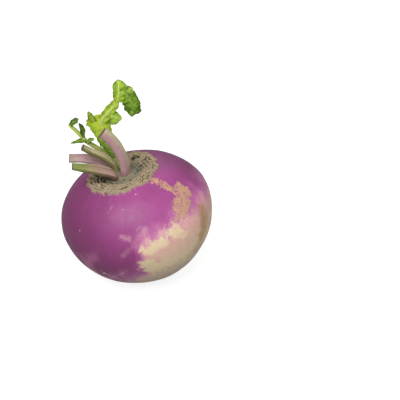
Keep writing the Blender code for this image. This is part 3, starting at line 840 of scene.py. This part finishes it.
def root_material(settings):
    """Waxy skin, purple above and cream below, under scabs, marks and the corky crown, with painted
    shade on the upper right shoulder and in the crown's pits and grooves.
    """
    material, tree, shader = new_material("turnip_root_skin", 0.45, 0.33)
    spot = spots_in_mm(tree)
    around = tree.scale(tree.vector("NORMALIZE", tree.vector("MULTIPLY", spot, (1, 1, 0.001))), 30.0)
    down = tree.vector("ADD", around, tree.vector("MULTIPLY", spot, (0.0, 0.0, 0.10)))
    streak = tree.group(streak_group(), spot=down, stretch=(1, 1, 1), size=2.4, detail=4.0)
    blotch = tree.noise(spot, 0.09, 3.0, 0.55)
    mottle = tree.noise(spot, 0.45, 4.0, 0.6)

    fade_plane = tree.vector("DOT_PRODUCT", spot, (0.0076, -0.0052, -0.0222))
    purple_tongue = marks(tree, spot, PURPLE_MARKS)
    fade = tree.math("ADD", fade_plane, -0.33)
    fade = tree.math("MULTIPLY_ADD", tree.math("SUBTRACT", streak, 0.5), 0.22, fade)
    fade = tree.math("MULTIPLY_ADD", tree.math("SUBTRACT", blotch, 0.5), 0.5, fade)
    fade = tree.math("MULTIPLY_ADD", purple_tongue, -0.45, fade)
    pinkness = tree.step(fade, -0.48, 0.02)
    fade = tree.math("MULTIPLY_ADD", tree.math("SUBTRACT", mottle, 0.5), 0.35, fade)
    creaminess = tree.step(fade, -0.02, 0.46)

    flank = tree.step(tree.vector("DOT_PRODUCT", spot, (-0.0222, -0.0, 0.0)), -0.35, 1.0)
    purple = tree.mix(flank, rgba(settings.purple), rgba(settings.deep_purple_and_shade))
    purple = tree.mix(tree.step(blotch, 0.35, 0.75, 0.0, 0.35), purple, rgba(settings.deep_purple_and_shade))
    purple = tree.mix(tree.step(streak, 0.5, 0.8, 0.0, 0.15), purple, rgba(settings.pink))
    # Painted shade: the upper right shoulder is darkened towards the deep purple.
    shoulder = tree.vector("DOT_PRODUCT", spot, (0.011, 0.012, 0.012))
    purple = tree.mix(tree.step(shoulder, 0.32, 0.75, 0.0, 0.80), purple, rgba(settings.deep_purple_and_shade))
    colour = tree.mix(pinkness, purple, rgba(settings.pink))
    cream = tree.mix(tree.step(mottle, 0.3, 0.7, 0.0, 0.4), rgba(settings.cream),
                     (0.50, 0.42, 0.24, 1.0))
    cream_patches = tree.math("MULTIPLY", marks(tree, spot, CREAM_MARKS),
                              tree.step(mottle, 0.25, 0.55, 0.55, 0.95))
    colour = tree.mix(tree.step(fade, -0.25, 0.05, 0.0, 0.75), colour, rgba(settings.peach))
    colour = tree.mix(tree.math("MAXIMUM", creaminess, cream_patches), colour, cream)
    faint = tree.math("MULTIPLY", marks(tree, spot, FAINT_MARKS), 0.30)
    colour = tree.mix(faint, colour, (0.62, 0.40, 0.38, 1.0))
    ochre = tree.math("MULTIPLY", marks(tree, spot, OCHRE_MARKS), 0.7)
    colour = tree.mix(ochre, colour, (0.32, 0.17, 0.04, 1.0))
    under = tree.vector("DOT_PRODUCT", spot, (0.004, -0.008, -0.030))
    under = tree.math("MULTIPLY_ADD", tree.math("SUBTRACT", mottle, 0.5), 0.7, under)
    colour = tree.mix(tree.step(under, 0.72, 1.12, 0.0, 0.70), colour, (0.42, 0.31, 0.27, 1.0))

    speck_cells = tree.add("ShaderNodeTexVoronoi", {"Vector": spot, "Scale": 0.14})
    speck = tree.step(speck_cells.outputs["Distance"], 0.035, 0.06, 1.0, 0.0)
    speck = tree.math("MULTIPLY", speck, tree.step(tree.noise(spot, 0.05), 0.45, 0.6))
    colour = tree.mix(speck, colour, (0.66, 0.42, 0.40, 1.0))

    scab = marks(tree, spot, SCAB_MARKS)
    crackle = tree.add("ShaderNodeTexVoronoi", {"Vector": spot, "Scale": 0.95},
                       feature="DISTANCE_TO_EDGE").outputs["Distance"]
    crack = tree.step(crackle, 0.0, 0.12, 1.0, 0.0)
    scab_colour = tree.mix(tree.step(mottle, 0.35, 0.65), rgba(settings.scab),
                           (0.50, 0.33, 0.17, 1.0))
    scab_colour = tree.mix(tree.math("MULTIPLY", crack, 0.6), scab_colour, (0.30, 0.11, 0.12, 1.0))
    worn = tree.step(tree.noise(spot, 0.30, 4.0, 0.65), 0.38, 0.50, 0.45, 0.90)
    colour = tree.mix(tree.math("MULTIPLY", scab, worn), colour, scab_colour)

    cork, hollow, green, scar = (tree.mask(name) for name in ("cork", "hollow", "green", "scar"))
    grit = tree.noise(spot, 1.1, 5.0, 0.7)
    cork_colour = tree.mix(tree.step(grit, 0.40, 0.70), rgba(settings.cork),
                           rgba(settings.fibre))
    cork_colour = tree.mix(tree.step(grit, 0.42, 0.30, 0.0, 0.7), cork_colour, rgba(settings.bark))
    cork_colour = tree.mix(tree.math("MULTIPLY", green, 0.7), cork_colour, rgba(settings.heart))
    slate = tree.math("MULTIPLY", green, tree.step(blotch, 0.52, 0.62, 0.0, 0.4))
    cork_colour = tree.mix(slate, cork_colour, (0.10, 0.12, 0.125, 1.0))
    # Painted shade: the pits and the ring's grooves are darkened nearly to black.
    cork_colour = tree.mix(tree.step(hollow, 0.15, 0.85, 0.0, 0.95), cork_colour,
                           (0.010, 0.010, 0.009, 1.0))
    colour = tree.mix(cork, colour, cork_colour)
    colour = tree.mix(scar, colour, (0.30, 0.20, 0.10, 1.0))
    tree.feed(shader.inputs["Base Color"], colour)

    rough = tree.step(mottle, 0.3, 0.7, 0.42, 0.52)
    dry = tree.math("MAXIMUM", cork, tree.math("MULTIPLY", scab, 0.8))
    rough = tree.math("MULTIPLY_ADD", dry, 0.45, rough, clamp=True)
    tree.feed(shader.inputs["Roughness"], rough)
    relief = tree.math("MULTIPLY", grit, tree.math("MULTIPLY_ADD", dry, 0.40, 0.02))
    relief = tree.math("MULTIPLY_ADD", tree.math("MULTIPLY", scab, crack), -0.5, relief)
    relief = tree.math("MULTIPLY_ADD", scab, 0.5, relief)
    relief = tree.math("MULTIPLY_ADD", streak, 0.05, relief)
    add_bump(tree, shader, relief, 0.7, 0.45)
    return material


# ---- stalks' and leaves' materials ----


def stalk_material(settings, name):
    """Flushed back, channel with painted shade in the crease beside it, painted shade at the foot,
    green tip and a rough dried cut.
    """
    *tints, flank_side, green_low, green_high = STALK_TINTS[name]
    back, channel, flank, tip, foot = (rgba(getattr(settings, tint)) for tint in tints)
    material, tree, shader = new_material(f"turnip_{name}_skin", 0.45, 0.35)
    spot = spots_in_mm(tree)
    along, face, side, cut = (tree.mask(mask) for mask in ("along", "face", "side", "cut"))
    lengthwise = tree.add("ShaderNodeCombineXYZ", {"X": side, "Y": face,
                                                   "Z": tree.math("MULTIPLY", along, 0.9)})
    streak = tree.group(streak_group(), spot=lengthwise.outputs[0], stretch=(1, 1, 1),
                        size=0.16, detail=4.0)
    blotch = tree.math("SUBTRACT", tree.noise(spot, 0.25, 3.0), 0.5)
    reach = tree.math("MULTIPLY_ADD", blotch, 0.3, face)
    sideways = tree.math("MULTIPLY", side, flank_side)
    sideways = tree.math("MULTIPLY_ADD", blotch, 0.8, sideways)
    colour = tree.mix(tree.step(sideways, -0.1, 0.7), back, flank)
    colour = tree.mix(tree.step(reach, 0.10, 0.30), colour, channel)
    green = tree.step(tree.math("MULTIPLY_ADD", blotch, 0.3, along), green_low, green_high)
    colour = tree.mix(green, colour, tip)
    # Painted shade: the plum and rust feet darken the stalks where they leave the crown; the middle
    # stalk's pale foot is its own colour.
    foot_tint_and_shade = tree.step(tree.math("MULTIPLY_ADD", blotch, 0.15, along), 0.30, 0.10)
    colour = tree.mix(tree.math("MULTIPLY", foot_tint_and_shade, 0.8), colour, foot)
    colour = tree.mix(tree.step(streak, 0.45, 0.75, 0.0, 0.40), colour, rgba(settings.pale))
    colour = tree.mix(tree.step(streak, 0.46, 0.25, 0.0, 0.50), colour, rgba(settings.olive))
    # Painted shade: a dark line along the crease at the channel's lip.
    crease = tree.step(tree.math("ABSOLUTE", tree.math("SUBTRACT", reach, 0.16)), 0.0, 0.16,
                       0.6, 0.0)
    colour = tree.mix(crease, colour, rgba(settings.crease))
    grit = tree.noise(spot, 2.0, 4.0, 0.7)
    dried = tree.mix(tree.step(grit, 0.35, 0.7), rgba(settings.crease), rgba(settings.dried))
    colour = tree.mix(tree.step(cut, 0.02, 0.35), colour, dried)
    near_cut = tree.step(along, 0.975, 1.0, 0.0, 0.6)
    colour = tree.mix(near_cut, colour, rgba(settings.crease))
    tree.feed(shader.inputs["Base Color"], colour)
    add_bump(tree, shader, tree.math("ADD", streak, tree.math("MULTIPLY", cut, grit)), 0.5, 0.3)
    return material


def leaf_material(settings):
    """Yellow-green young blade, darker puckered lobes with painted shade along their curled edges
    and in their puckers, pale veins and an olive stem.
    """
    material, tree, shader = new_material("turnip_leaf_skin", 0.60, 0.15)
    spot = spots_in_mm(tree)
    along, blade, veins, edge, tone, face = (
        tree.mask(name) for name in ("along", "blade", "veins", "edge", "tone", "face"))
    mottle = tree.math("SUBTRACT", tree.noise(spot, 0.35, 3.0, 0.6), 0.5)
    fine = tree.noise(spot, 1.3, 3.0, 0.6)
    darkness = tree.math("MULTIPLY_ADD", mottle, 1.1, tone)
    green = tree.mix(tree.step(darkness, 0.0, 0.65), rgba(settings.young), rgba(settings.mature))
    green = tree.mix(tree.step(darkness, 0.6, 1.15, 0.0, 0.75), green, rgba(settings.dark))
    # Painted shade: the lobes' curled edges are darkened, more so on the darker lobes.
    rim = tree.math("MULTIPLY", edge, tree.math("MULTIPLY_ADD", tone, 0.6, 0.4))
    green = tree.mix(rim, green, rgba(settings.dark))
    # Painted shade: the puckers' hollows, where the bump sinks, are darkened.
    pucker_shade = tree.step(fine, 0.56, 0.34, 0.0, 0.75)
    green = tree.mix(tree.math("MULTIPLY", pucker_shade, tone), green, rgba(settings.dark))
    shown = tree.math("MULTIPLY", veins, tree.step(tone, 0.2, 1.0, 0.55, 0.12))
    green = tree.mix(shown, green, rgba(settings.vein))
    stem = tree.mix(tree.step(along, 0.35, 0.85), rgba(settings.stem), rgba(settings.young))
    stem = tree.mix(tree.step(face, 0.25, 0.8, 0.0, 0.6), stem, rgba(settings.vein))
    colour = tree.mix(blade, stem, green)
    tree.feed(shader.inputs["Base Color"], colour)
    shader.inputs["Subsurface Weight"].default_value = 0.12
    shader.inputs["Subsurface Radius"].default_value = (0.4 * MM, 0.8 * MM, 0.1 * MM)
    shader.inputs["Subsurface Scale"].default_value = 1.0
    add_bump(tree, shader, fine, 0.45, 0.3)
    return material


# ---- stage ----


def add_area_light(name, place, target, size, power):
    data = bpy.data.lights.new(name, "AREA")
    data.shape = "DISK"
    data.size = size
    data.energy = power
    lamp = bpy.data.objects.new(name, data)
    lamp.location = place
    lamp.rotation_mode = "QUATERNION"
    lamp.rotation_quaternion = (Vector(target) - Vector(place)).to_track_quat("-Z", "Y")
    bpy.context.scene.collection.objects.link(lamp)
    return lamp


def build_camera(settings):
    """Looks at the root from the front and above, with the root left of the middle."""
    data = bpy.data.cameras.new("turnip_camera")
    data.sensor_width = 36.0
    data.lens = settings.lens
    camera = bpy.data.objects.new("turnip_camera", data)
    away = Vector((0.0, -math.cos(settings.elevation), math.sin(settings.elevation)))
    upward = Vector((0.0, math.sin(settings.elevation), math.cos(settings.elevation)))
    middle = ROOT_MIDDLE * MM
    aim = middle + Vector((36.9 * MM, 0.0, 0.0)) + upward * 5.7 * MM
    camera.location = middle + away * settings.distance
    camera.rotation_mode = "QUATERNION"
    camera.rotation_quaternion = (aim - camera.location).to_track_quat("-Z", "Y")
    bpy.context.scene.collection.objects.link(camera)
    bpy.context.scene.camera = camera


def build_floor(settings):
    mesh = bpy.data.meshes.new("floor")
    half = 6.0
    mesh.from_pydata([(-half, -half, 0), (half, -half, 0), (half, half, 0), (-half, half, 0)],
                     [], [(0, 1, 2, 3)])
    floor = bpy.data.objects.new("floor", mesh)
    material, tree, shader = new_material("pale_floor", 0.9, 0.1)
    shader.inputs["Base Color"].default_value = rgba([0.30 * part for part in settings.floor])
    shader.inputs["Emission Color"].default_value = rgba(settings.floor)
    shader.inputs["Emission Strength"].default_value = 0.90
    quiet = tree.add("ShaderNodeBsdfDiffuse", {"Color": (settings.bounce,) * 3 + (1.0,)})
    seen = tree.add("ShaderNodeLightPath").outputs["Is Camera Ray"]
    both = tree.add("ShaderNodeMixShader", {0: seen, 1: quiet.outputs[0], 2: shader.outputs[0]})
    tree.feed(material.node_tree.nodes["Material Output"].inputs["Surface"], both.outputs[0])
    mesh.materials.append(material)
    bpy.context.scene.collection.objects.link(floor)


def build_world(settings):
    """White behind everything, and a softer grey for the light that comes from all round."""
    world = bpy.data.worlds.new("studio")
    world.use_nodes = True
    tree = Tree(world.node_tree)
    seen = tree.add("ShaderNodeLightPath").outputs["Is Camera Ray"]
    strength = tree.math("MULTIPLY_ADD", seen, 1.0 - settings.ambient, settings.ambient)
    background = world.node_tree.nodes["Background"]
    background.inputs["Color"].default_value = (1.0, 1.0, 1.0, 1.0)
    tree.feed(background.inputs["Strength"], strength)
    bpy.context.scene.world = world


# ---- operators ----


class TURNIP_OT_root(bpy.types.Operator):
    """Grow the root with its skin and corky crown"""
    bl_idname = "turnip.root"
    bl_label = "Grow Root"

    def execute(self, context):
        build_root(context.scene.turnip_root)
        return {"FINISHED"}


class TURNIP_OT_stalks(bpy.types.Operator):
    """Grow the cut leaf stalks"""
    bl_idname = "turnip.stalks"
    bl_label = "Grow Cut Stalks"

    def execute(self, context):
        build_cut_stalks(context.scene.turnip_stalks)
        return {"FINISHED"}


class TURNIP_OT_leaves(bpy.types.Operator):
    """Grow the two stalks that still carry leaf"""
    bl_idname = "turnip.leaves"
    bl_label = "Grow Leaves"

    def execute(self, context):
        build_leaves(context.scene.turnip_leaves)
        return {"FINISHED"}


class TURNIP_OT_stage(bpy.types.Operator):
    """Set the floor, the soft light and the camera"""
    bl_idname = "turnip.stage"
    bl_label = "Set Stage"

    def execute(self, context):
        settings = context.scene.turnip_stage
        build_floor(settings)
        build_world(settings)
        add_area_light("key_light", (-0.35, -0.75, 1.15), (0, 0, 0.05), 1.1, 25.0)
        add_area_light("fill_light", (1.0, -0.5, 0.7), (0, 0, 0.05), 0.8, 3.0)
        add_area_light("back_light", (0.1, 1.1, 0.9), (0, 0, 0.05), 0.8, 2.5)
        build_camera(settings)
        context.scene.view_settings.view_transform = "Standard"
        return {"FINISHED"}


class TURNIP_PT_panel(bpy.types.Panel):
    """Lists the turnip's operators and settings"""
    bl_idname = "TURNIP_PT_panel"
    bl_label = "Purple-top Turnip"
    bl_space_type = "VIEW_3D"
    bl_region_type = "UI"
    bl_category = "Turnip"

    def draw(self, context):
        for operator, group in OPERATORS:
            box = self.layout.box()
            box.operator(operator)
            settings = getattr(context.scene, group)
            for name in settings.__annotations__:
                box.prop(settings, name)


OPERATORS = [
    ("turnip.root", "turnip_root"),
    ("turnip.stalks", "turnip_stalks"),
    ("turnip.leaves", "turnip_leaves"),
    ("turnip.stage", "turnip_stage"),
]
SETTINGS = {
    "turnip_root": TurnipRootSettings,
    "turnip_stalks": TurnipStalkSettings,
    "turnip_leaves": TurnipLeafSettings,
    "turnip_stage": TurnipStageSettings,
}
CLASSES = (*SETTINGS.values(), TURNIP_OT_root, TURNIP_OT_stalks, TURNIP_OT_leaves,
           TURNIP_OT_stage, TURNIP_PT_panel)


def register():
    for made in CLASSES:
        bpy.utils.register_class(made)
    for name, group in SETTINGS.items():
        setattr(bpy.types.Scene, name, bpy.props.PointerProperty(type=group))


def unregister():
    for name in SETTINGS:
        delattr(bpy.types.Scene, name)
    for made in reversed(CLASSES):
        bpy.utils.unregister_class(made)


def main():
    register()
    bpy.ops.turnip.root()
    bpy.ops.turnip.stalks()
    bpy.ops.turnip.leaves()
    bpy.ops.turnip.stage()


if __name__ == "__main__":
    main()
